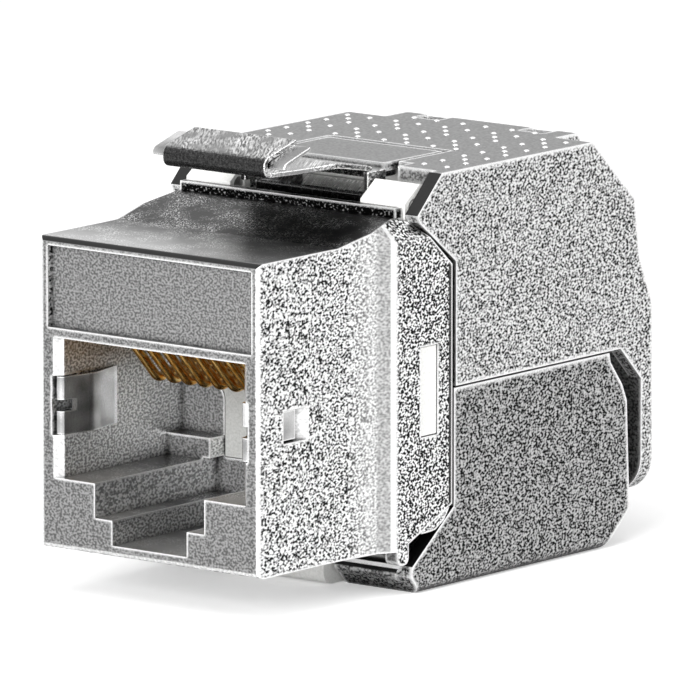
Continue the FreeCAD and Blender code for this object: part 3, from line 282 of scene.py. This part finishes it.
def bright_tinned_sheet():
    """Tinned bronze sheet, smooth from the rolls: soft light and dark clouds and no grain."""
    material, tree, shader, place = new_material("bright_tinned_sheet")
    clouds = noise(tree, place, 2.2 * MM, 1.0)
    hairs = noise(tree, place, 0.12 * MM, 2.0)
    cloud = blend_colour(tree, spread(tree, clouds, 0.38, 0.62), "#9c9c9c", "#f2f2f2")
    fine = blend_colour(tree, hairs, "#d0d0d0", "#ffffff")
    colour = shade(tree, cloud, fine)
    # A painted highlight along the outer edges.
    colour = blend_colour(tree, painted_edge_highlights(tree, THIN_EDGE), colour, "#ffffff")
    tree.links.new(colour, shader.inputs["Base Color"])
    shader.inputs["Metallic"].default_value = 1.0
    shader.inputs["Roughness"].default_value = 0.22
    add_bump(tree, shader, hairs, 0.002 * MM, 0.4)
    return material


def painted_highlight_nickel():
    """Nickel on small raised shapes, drawn white all over: a painted highlight on each."""
    material, tree, shader, place = new_material("painted_highlight_nickel")
    tip_noise = noise(tree, place, 0.1 * MM, 2.0)
    tree.links.new(blend_colour(tree, tip_noise, "#f0f0f0", "#ffffff"), shader.inputs["Base Color"])
    shader.inputs["Metallic"].default_value = 1.0
    shader.inputs["Roughness"].default_value = 0.4
    return material


def turned_pin_steel():
    """Drawn steel wire with a dull zinc flash."""
    material, tree, shader, place = new_material("turned_pin_steel")
    marks = noise(tree, place, 0.12 * MM)
    tree.links.new(blend_colour(tree, marks, "#7d7d7d", "#c9c9c9"), shader.inputs["Base Color"])
    shader.inputs["Metallic"].default_value = 1.0
    shader.inputs["Roughness"].default_value = 0.35
    add_bump(tree, shader, marks, 0.006 * MM)
    return material


def moulded_plastic(name, face_shade, pit_shade, rough):
    """Glass filled PBT off a spark eroded mould: a dull sheen with a very fine pitted skin."""
    material, tree, shader, place = new_material(name)
    pits = noise(tree, place, 0.12 * MM, 3.0, 0.6)
    colour = blend_colour(tree, spread(tree, pits, 0.3, 0.6), pit_shade, face_shade)
    tree.links.new(colour, shader.inputs["Base Color"])
    tree.links.new(spread(tree, pits, 0.3, 0.7, rough - 0.08, rough + 0.08), shader.inputs["Roughness"])
    shader.inputs["IOR"].default_value = 1.55
    add_bump(tree, shader, pits, 0.01 * MM, 0.6)
    return material


def gold_plated_bronze():
    """Phosphor bronze wire under hard gold: warm amber, with drawing lines along the wire."""
    material, tree, shader, place = new_material("gold_plated_bronze")
    lines = noise(tree, stretched(tree, place, (1.0, 0.12, 0.12)), 0.06 * MM, 2.0, 0.5)
    colour = blend_colour(tree, spread(tree, lines, 0.35, 0.65), "#dc9128", "#ffdc90")
    tree.links.new(colour, shader.inputs["Base Color"])
    shader.inputs["Metallic"].default_value = 1.0
    shader.inputs["Roughness"].default_value = 0.24
    add_bump(tree, shader, lines, 0.004 * MM)
    return material


def tinned_bronze():
    """Blade stampings under matt tin."""
    material, tree, shader, place = new_material("tinned_bronze")
    grain = noise(tree, place, 0.09 * MM)
    tree.links.new(blend_colour(tree, grain, "#a5a5a2", "#dcdcd8"), shader.inputs["Base Color"])
    shader.inputs["Metallic"].default_value = 1.0
    shader.inputs["Roughness"].default_value = 0.42
    add_bump(tree, shader, grain, 0.006 * MM)
    return material


def solder_masked_board():
    """Glass epoxy laminate under green solder mask, with the weave just showing."""
    material, tree, shader, place = new_material("solder_masked_board")
    weave = add_node(tree, "ShaderNodeTexWave", {"Vector": place["Object"]}, Scale=1 / (0.5 * MM) / 6,
                     Distortion=0.6)
    colour = blend_colour(tree, weave.outputs["Fac"], "#0f4a28", "#1b6a3b")
    tree.links.new(colour, shader.inputs["Base Color"])
    shader.inputs["Roughness"].default_value = 0.35
    shader.inputs["IOR"].default_value = 1.55
    add_bump(tree, shader, weave.outputs["Fac"], 0.005 * MM)
    return material


def behind(depth, run):
    """A mask that goes from 0 to 1 over a run that starts at a depth behind the front face, both in mm."""
    return along(1, cad_low.y + depth * MM, cad_low.y + (depth + run) * MM)


# Masks by place and by the way a face looks, for tones that paint light and shade. One from behind() holds
# from its depth to the back of the jack, so in a list of tones each covers those before it until the next
# begins:
# the flank's sweep, the step out to the collar, the collar's rim in a painted highlight, the collar, and
# painted shade on the line where the caps begin.
CORNER_TO_PLUG = facing(1, -1, 0.5, 0.62)
TOWARDS_PLUG = facing(1, -1, 0.92, 0.985)
UPWARDS = facing(2, 1, 0.8, 0.95)
SWEEP = behind(6.9, 1.7)
STEP = behind(9.0, 0.15)
RIM = behind(9.72, 0.06)
SEAM = behind(14.28, 0.06)
CREST = both(
    behind(9.6, 0.2),
    along(2, cad_low.z + 18.6 * MM, cad_low.z + 18.7 * MM),
    along(0, -7.2 * MM, -7.1 * MM),
    along(0, 7.2 * MM, 7.1 * MM),
)
COLLAR = behind(10.0, 0.15)
PORT_HALF = 5.97 * MM
PORT = both(
    along(0, -PORT_HALF - 0.55 * MM, -PORT_HALF - 0.5 * MM),
    along(0, PORT_HALF + 0.55 * MM, PORT_HALF + 0.5 * MM),
    behind(0.02, 0.1),
    along(2, 15.25 * MM, 15.2 * MM),
    along(2, 3.0 * MM, 3.02 * MM),
)

FINISHES = {
    "nickel_casting": satin_nickel_on_zinc("satin_nickel_on_zinc", [
        (None, "#101010", "#ececec", 0.46, 0.16),
        # Faces towards the plug and faces upwards get tones of their own: painted light and shade for how
        # the light falls on each.
        (TOWARDS_PLUG, "#636363", "#b4b4b4", 0.5, 0.15),
        (UPWARDS, "#606060", "#9a9a9a", 0.4, 0.2),
    ], edge=0.24 * MM),
    "spring_steel": polished_spring_steel(),
    "pin_steel": turned_pin_steel(),
    "white_plastic": moulded_plastic("white_pbt", "#f4f4f2", "#e6e6e3", 0.42),
    "grey_plastic": moulded_plastic("grey_pbt", "#b9bab8", "#a3a4a2", 0.48),
    "gold_contact": gold_plated_bronze(),
    "tin_blade": tinned_bronze(),
    "board": solder_masked_board(),
}
SHEET = bright_tinned_sheet()
# The grip dots' painted highlight.
DOT_TIPS = painted_highlight_nickel()
OWN_FINISHES = {
    # On the housing the tones over the grain are painted light and shade: the sweep lighter, the step grey,
    # a highlight on the rim, the collar darker, shade on the seam, the port's walls lighter, a highlight on
    # the slants to the plug, the faces towards the plug darker and softer, and shade on the crest.
    "front_housing": satin_nickel_on_zinc("satin_nickel_on_housing", [
        (None, "#1a1a1a", "#f8f8f8", 0.42, 0.13),
        (SWEEP, "#8c8c8c", "#ffffff", 0.4, 0.22),
        (STEP, "#949494", "#d8d8d8", 0.5, 0.2),
        (RIM, "#f0f0f0", "#ffffff", 0.5, 0.2),
        (COLLAR, "#0e0e0e", "#fafafa", 0.56, 0.11),
        (SEAM, "#1c1c1c", "#4c4c4c", 0.50, 0.2),
        (PORT, "#a4a4a4", "#ffffff", 0.5, 0.12),
        (CORNER_TO_PLUG, "#d4d4d4", "#ffffff", 0.5, 0.2),
        (TOWARDS_PLUG, "#666666", "#a6a6a6", 0.5, 0.14),
        (CREST, "#0a0a0a", "#c8c8c8", 1.3, 0.08),
    # The top's polish carries a painted reflection, light at the front and dark further back, with painted
    # glints in white.
    ], polish_and_painted_reflection=(facing(2, 1, 0.75, 0.9), behind(1.0, 4.6), "#b4b4b4", "#202020", "#ffffff")),
    "right_shield_spring": SHEET,
    "left_shield_spring": SHEET,
    "lower_cap": satin_nickel_on_zinc("satin_nickel_on_lower_cap", [
        # The lower cap is the same nickel drawn darker all over: painted shade.
        (None, "#000000", "#c8c8c8", 0.62, 0.15),
    ], edge=0.28 * MM),
}


def dress_frame():
    """Gives every CAD node the finish that the record names for it, or the node's own finish where one is
    listed.
    """
    for part in frame["record"]["subparts"]:
        piece = frame["nodes"][part["node"]]
        piece.data.materials.clear()
        piece.data.materials.append(OWN_FINISHES.get(part["node"], FINISHES[part["material_slot"]]))


# ---------------------------------------------------------------- pieces added to the frame

FRONT = cad_low.y
FOOT = cad_low.z + 2.45 * MM


def at(depth, height):
    """A place in the lengthwise plane, from millimetres behind the front face and above its lower edge."""
    return np.array([FRONT + depth * MM, FOOT + height * MM])


ARC_STEPS = 8


def rounded_path(corners):
    """A path through corners (depth, height, radius): straight runs, and a circular arc round each corner.

    An arc of radius r in a corner that turns by angle t starts r * tan(t / 2) before it, and its points
    lie on the circle round the centre, which is r / cos(t / 2) from the corner along its bisector.
    """
    places = [at(depth, height) for depth, height, radius in corners]
    path = [places[0][None]]
    for before, here, after, corner in zip(places, places[1:], places[2:], corners[1:]):
        back, on = before - here, after - here
        back, on = back / np.linalg.norm(back), on / np.linalg.norm(on)
        half = math.acos(np.clip(back @ on, -1, 1)) / 2
        inwards = (back + on) / np.linalg.norm(back + on)
        radius = corner[2] * MM
        middle = here + inwards * radius / math.sin(half)
        first = here + back * radius / math.tan(half) - middle
        last = here + on * radius / math.tan(half) - middle
        turn = np.linspace(0, 1, ARC_STEPS)[:, None]
        swing = math.pi - 2 * half
        weights = np.sin((1 - turn) * swing), np.sin(turn * swing)
        path.append(middle + (weights[0] * first + weights[1] * last) / math.sin(swing))
    path.append(places[-1][None])
    return np.concatenate(path)


def strip(name, path, halves, thickness, across=0.0, finish=0):
    """A sheet strip bent along a path in the lengthwise plane, its half width varying along the path.

    Each cross-section is a rectangle: the path's point plus and minus half the thickness along the
    path's normal, at plus and minus the half width from across.
    """
    ahead = np.gradient(path, axis=0)
    ahead /= np.linalg.norm(ahead, axis=1, keepdims=True)
    normal = np.stack([-ahead[:, 1], ahead[:, 0]], 1) * thickness * MM / 2
    halves = np.asarray(halves) * MM
    rings = []
    for side, layer in ((1, 1), (1, -1), (-1, -1), (-1, 1)):
        edge = path + layer * normal
        rings.append(np.column_stack([across * MM + side * halves, edge]))
    points = np.stack(rings, 1)
    count = len(path)
    index = np.arange(count * 4).reshape(count, 4)
    around = np.roll(index, -1, axis=1)
    faces = np.stack([index[:-1], around[:-1], around[1:], index[1:]], -1).reshape(-1, 4).tolist()
    faces += [index[0][::-1].tolist(), index[-1].tolist()]
    mesh = bpy.data.meshes.new(name)
    mesh.from_pydata(points.reshape(-1, 3).tolist(), [], faces)
    mesh.polygons.foreach_set("material_index", np.full(len(faces), finish))
    return mesh


def join_meshes(name, meshes):
    """One object from several meshes, with its faces outwards."""
    whole = bmesh.new()
    for mesh in meshes:
        whole.from_mesh(mesh)
        bpy.data.meshes.remove(mesh)
    bmesh.ops.recalc_face_normals(whole, faces=whole.faces)
    mesh = bpy.data.meshes.new(name)
    whole.to_mesh(mesh)
    whole.free()
    piece = bpy.data.objects.new(name, mesh)
    bpy.context.collection.objects.link(piece)
    return piece


LIP_HALF = 3.35
WIDTHS = [5.4, 6.6, 8.4, 13.9, 14.2, 16.3], [LIP_HALF, LIP_HALF, 4.2, 4.2, 3.2, 3.2]
STRIP_THICKNESS = 0.28
LEAF_HALF, LEAF_THICKNESS = 4.35, 0.2
LEG_PLACE, LEG_OUT, LEG_HALF, LEG_BREADTH = 13.35, 4.05, 0.15, 1.5


def bent_latch():
    """The latch strip: root, rise, arm, the fold at the finger end and the wider leaf inside the fold.

    The half width is the lip's up to the end of the fold's second arc. Behind that it is read off
    WIDTHS, which holds depths and the half widths there in mm, by straight lines between them.
    """
    main = rounded_path([
        (7.85, 21.1, 0), (5.36, 20.42, 0.38), (5.34, 19.62, 0.34), (7.2, 19.60, 2.0),
        (10.1, 19.66, 3.0), (12.6, 19.22, 3.0), (14.5, 18.45, 1.4), (16.2, 18.45, 0),
    ])
    depth = (main[:, 0] - FRONT) / MM
    below_fold = np.arange(len(main)) > 2 * ARC_STEPS
    widths = np.where(below_fold, np.interp(depth, *WIDTHS), LIP_HALF)
    leaf = rounded_path([(7.75, 20.86, 0), (5.75, 20.26, 0.3), (5.66, 19.98, 0)])
    pieces = [strip("strip", main, widths, STRIP_THICKNESS)]
    pieces.append(strip("leaf", leaf, np.full(len(leaf), LEAF_HALF), LEAF_THICKNESS, finish=1))
    for side in (1, -1):
        leg = np.stack([at(LEG_PLACE, height) for height in (19.0, 18.4, 17.75)])
        pieces.append(strip("leg", leg, np.full(len(leg), LEG_HALF), LEG_BREADTH, side * LEG_OUT))
    piece = join_meshes("latch_strip", pieces)
    piece.data.materials.append(FINISHES["spring_steel"])
    piece.data.materials.append(SHEET)
    soften = piece.modifiers.new("soft_edges", "BEVEL")
    soften.width = 0.05 * MM
    soften.segments = 2
    soften.limit_method = "ANGLE"
    soften.angle_limit = math.radians(40)
    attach(piece, "latch")
    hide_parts("latch_spring")


SEAT_HALF, SEAT_THICKNESS = 3.55, 0.08


def latch_seat_in_painted_shade():
    """The thin sheet over the core under the latch's arm, drawn dark for the painted shade there: a strip
    on a path with one bend.
    """
    path = rounded_path([(13.06, 16.9, 0), (13.06, 17.78, 0.12), (15.9, 17.78, 0)])
    piece = join_meshes("latch_seat_in_painted_shade", [strip("sheet", path, np.full(len(path), SEAT_HALF), SEAT_THICKNESS)])
    piece.data.materials.append(FINISHES["spring_steel"])
    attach(piece, "housing")


FOOT_SPAN = 7.4, 8.13


def collar_foot():
    """The foot of the collar's flank on each side, down to the lower cap's slanting front edge.

    Each is an outline in the lengthwise plane, drawn out along X to just inside both faces of the
    flank's wall. Its lower edge stays outside the circle that the cap's corner makes round its pin.
    """
    corners = ((14.4, 1.75), (12.0, 0.9), (12.1, 0.66), (12.8, 0.68), (13.2, 0.72), (13.95, 1.13))
    outline = np.stack([at(*corner) for corner in corners])
    count = len(outline)
    plates = []
    for side in (1, -1):
        layers = [np.column_stack([np.full(count, side * x * MM), outline]) for x in FOOT_SPAN]
        points = np.concatenate(layers)
        index = np.arange(count)
        after = np.roll(index, -1)
        faces = np.stack([index, after, after + count, index + count], -1).tolist()
        faces += [index[::-1].tolist(), (index + count).tolist()]
        mesh = bpy.data.meshes.new("plate")
        mesh.from_pydata(points.tolist(), [], faces)
        plates.append(mesh)
    piece = join_meshes("collar_foot", plates)
    piece.data.materials.append(OWN_FINISHES["front_housing"])
    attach(piece, "housing")


DOT_RADIUS, DOT_HEIGHT = 0.17, 0.1
DOT_SIDES, DOT_RINGS = 10, 3
PITCH = np.array([3.25, 3.32])
CROSS = np.array([(0, 0), (0.8, -0.95), (-0.8, 0.95), (0.75, 0.88), (-0.72, -0.93)])
MIDDLE_DOT = np.array([-0.1, 21.18])
# The dots start just under the cap's top face. Their centres keep to its flat top and its rear hump,
# off the two notches at its front.
DOT_BASE = 19.19
TOP_HALF, TOP_FRONT, TOP_BACK = 7.7, 14.9, 26.1
HUMP_HALF, HUMP_BACK = 5.2, 26.9
NOTCH_HALF, NOTCH_BACK = 4.3, 20.1
BROW_NOTCH_HALF, BROW_NOTCH_BACK = 5.3, 15.8


def dot_places():
    """Where the dots are, in mm: crosses of five on a grid, clear of the cap's edges and notches."""
    columns, rows = np.meshgrid(np.arange(-3, 4), np.arange(-3, 4), indexing="ij")
    cells = MIDDLE_DOT + PITCH * np.stack([columns, rows], -1).reshape(-1, 1, 2)
    spots = (cells + CROSS).reshape(-1, 2)
    x, y = np.abs(spots[:, 0]), spots[:, 1]
    on_top = (x < TOP_HALF) & (y > TOP_FRONT) & (y < TOP_BACK)
    on_hump = (x < HUMP_HALF) & (y >= TOP_BACK) & (y < HUMP_BACK)
    off_notches = (x > BROW_NOTCH_HALF) | ((x > NOTCH_HALF) & (y > BROW_NOTCH_BACK)) | (y > NOTCH_BACK)
    return spots[(on_top | on_hump) & off_notches]


def grip_dots():
    """Small domes on the upper cap, for a hold with the thumb.

    A dome is half an ellipsoid: (r cos u cos v, r cos u sin v, h sin u), with u from 0 to a right angle
    in DOT_RINGS steps and v round in DOT_SIDES steps.
    """
    spots = dot_places()
    up = np.linspace(0, math.pi / 2, DOT_RINGS + 1)[:-1]
    round_it = np.linspace(0, 2 * math.pi, DOT_SIDES + 1)[:-1]
    rise, turn = np.meshgrid(up, round_it, indexing="ij")
    out = DOT_RADIUS * np.cos(rise)
    dome = np.stack([out * np.cos(turn), out * np.sin(turn), DOT_HEIGHT * np.sin(rise)], -1).reshape(-1, 3)
    dome = np.concatenate([dome, [[0, 0, DOT_HEIGHT]]])
    ring = np.arange(DOT_SIDES)
    following = np.roll(ring, -1)
    rims = [step * DOT_SIDES for step in range(DOT_RINGS)]
    bands = [np.stack([low + ring, low + following, high + following, high + ring], -1)
             for low, high in zip(rims, rims[1:])]
    tips = np.stack([rims[-1] + ring, rims[-1] + following, np.full(DOT_SIDES, len(dome) - 1)], -1)
    places = np.column_stack([spots * MM + [0, FRONT], np.full(len(spots), FOOT + DOT_BASE * MM)])
    points = (dome[None] * MM + places[:, None]).reshape(-1, 3)
    shift = (np.arange(len(spots)) * len(dome))[:, None, None]
    faces = (np.concatenate(bands)[None] + shift).reshape(-1, 4).tolist()
    faces += (tips[None] + shift).reshape(-1, 3).tolist()
    faces += (ring[::-1][None] + shift[:, 0]).tolist()
    mesh = bpy.data.meshes.new("grip_dots")
    mesh.from_pydata(points.tolist(), [], faces)
    mesh.shade_smooth()
    piece = bpy.data.objects.new("grip_dots", mesh)
    bpy.context.collection.objects.link(piece)
    mesh.materials.append(DOT_TIPS)
    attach(piece, "upper_cap")


# ---------------------------------------------------------------- studio

def floor_and_backdrop():
    """A pale floor on which the jack stands; it keeps the shadow and goes to white."""
    half = 1.6
    edge = np.linspace(-half, half, 3)
    x, y = np.meshgrid(edge, edge, indexing="ij")
    points = np.stack([x, y, np.full_like(x, cad_low.z)], -1).reshape(-1, 3)
    low_corners = [i * 3 + j for i in range(2) for j in range(2)]
    faces = [(corner, corner + 3, corner + 4, corner + 1) for corner in low_corners]
    mesh = bpy.data.meshes.new("floor")
    mesh.from_pydata(points.tolist(), [], faces)
    floor = bpy.data.objects.new("floor", mesh)
    bpy.context.collection.objects.link(floor)
    material = bpy.data.materials.new("white_paper_sweep")
    material.use_nodes = True
    tree = material.node_tree
    tree.nodes.clear()
    paper = add_node(tree, "ShaderNodeBsdfDiffuse", Color=linear("#f6f6f6"))
    seen = add_node(tree, "ShaderNodeLightPath").outputs
    lift = add_node(tree, "ShaderNodeMath", operation="MULTIPLY", i1=0.32)
    tree.links.new(seen["Is Camera Ray"], lift.inputs[0])
    glow = add_node(tree, "ShaderNodeEmission", {"Strength": lift.outputs[0]}, Color=linear("#ffffff"))
    mixed = add_node(tree, "ShaderNodeAddShader")
    tree.links.new(paper.outputs[0], mixed.inputs[0])
    tree.links.new(glow.outputs[0], mixed.inputs[1])
    out = add_node(tree, "ShaderNodeOutputMaterial")
    tree.links.new(mixed.outputs[0], out.inputs["Surface"])
    mesh.materials.append(material)


def world_light():
    """White where it is seen or mirrored, and a plain level where it lights."""
    world = bpy.data.worlds.new("studio")
    world.use_nodes = True
    tree = world.node_tree
    tree.nodes.clear()
    seen = add_node(tree, "ShaderNodeLightPath").outputs
    direct = add_node(tree, "ShaderNodeMath", operation="MAXIMUM")
    tree.links.new(seen["Is Camera Ray"], direct.inputs[0])
    tree.links.new(seen["Is Glossy Ray"], direct.inputs[1])
    mirrored = add_node(tree, "ShaderNodeMath", operation="MAXIMUM")
    tree.links.new(direct.outputs[0], mirrored.inputs[0])
    tree.links.new(seen["Is Transmission Ray"], mirrored.inputs[1])
    strength = spread(tree, mirrored.outputs[0], 0.0, 1.0, 0.55, 1.0)
    sky = add_node(tree, "ShaderNodeBackground", {"Strength": strength}, Color=linear("#ffffff"))
    out = add_node(tree, "ShaderNodeOutputWorld")
    tree.links.new(sky.outputs[0], out.inputs["Surface"])
    bpy.context.scene.world = world


def direction(azimuth, elevation):
    """Unit vector from the jack to a point at that azimuth (0 in front, 90 on the right) and elevation."""
    a, e = math.radians(azimuth), math.radians(elevation)
    return Vector((math.sin(a) * math.cos(e), -math.cos(a) * math.cos(e), math.sin(e)))


def softbox(name, azimuth, elevation, reach, size, watts):
    """A square lamp that faces the jack's centre: its distance and its side are in metres."""
    lamp = bpy.data.lights.new(name, "AREA")
    lamp.shape = "SQUARE"
    lamp.size = size
    lamp.energy = watts
    holder = bpy.data.objects.new(name, lamp)
    away = direction(azimuth, elevation)
    holder.location = centre + away * reach
    holder.rotation_euler = away.to_track_quat("Z", "Y").to_euler()
    bpy.context.collection.objects.link(holder)


def camera():
    """A long lens from the front right, a little above, framed on a field 36.3 mm wide."""
    field = 36.27 * MM
    azimuth, elevation = 38.6, 10.1
    lens = bpy.data.cameras.new("camera")
    lens.lens = 700
    lens.sensor_width = 36
    lens.clip_start = 0.01
    lens.clip_end = 10
    holder = bpy.data.objects.new("camera", lens)
    away = direction(azimuth, elevation)
    aim = centre + Vector((0, 0.59, -0.62)) * MM
    holder.location = aim + away * (field * lens.lens / lens.sensor_width)
    holder.rotation_euler = away.to_track_quat("Z", "Y").to_euler()
    bpy.context.collection.objects.link(holder)
    bpy.context.scene.camera = holder


# ---------------------------------------------------------------- the jack

dress_frame()
bent_latch()
latch_seat_in_painted_shade()
collar_foot()
grip_dots()
floor_and_backdrop()
world_light()
softbox("high_softbox", 20, 62, 0.35, 0.25, 0.5)
softbox("right_softbox", 115, 25, 0.35, 0.22, 0.3)
softbox("front_softbox", 12, 14, 0.35, 0.2, 1.1)
camera()
bpy.context.scene.view_settings.view_transform = "Standard"
